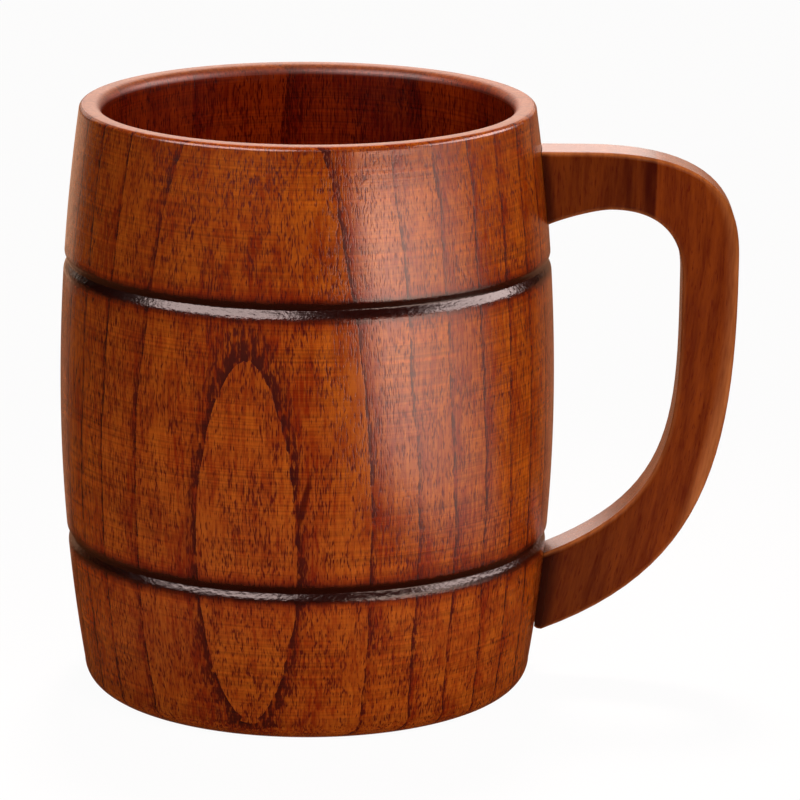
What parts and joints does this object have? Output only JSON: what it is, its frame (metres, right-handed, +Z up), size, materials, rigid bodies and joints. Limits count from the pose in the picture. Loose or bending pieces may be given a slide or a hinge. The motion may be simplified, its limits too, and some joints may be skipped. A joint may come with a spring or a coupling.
{
  "type": "wooden mug",
  "caption": "Barrel-shaped turned wooden mug with a grooved side, a let-in base disc and a sawn board handle dowelled to its side, for holding and drinking a beverage.",
  "frame": {"origin": "on the barrel's axis, on the plane that the mug stands on", "axes": "+Z up along the barrel's axis, +X from the axis towards the handle, +Y away from the viewer of the handle's face"},
  "size_m": [0.1279, 0.0936, 0.112],
  "materials": {
    "barrel_wood": "reddish-brown stained ring-porous hardwood, vertical grain, semi-gloss lacquer",
    "base_wood": "reddish-brown stained hardwood, face grain, satin lacquer",
    "handle_wood": "reddish-brown stained hardwood board, vertical grain, semi-gloss lacquer",
    "dowel_wood": "plain unfinished beech, glued in"
  },
  "bodies": {
    "root": {"barrel": "barrel_wood", "base_disc": "base_wood", "handle": "handle_wood", "upper_dowel": "dowel_wood", "lower_dowel": "dowel_wood"}
  },
  "joints": []
}
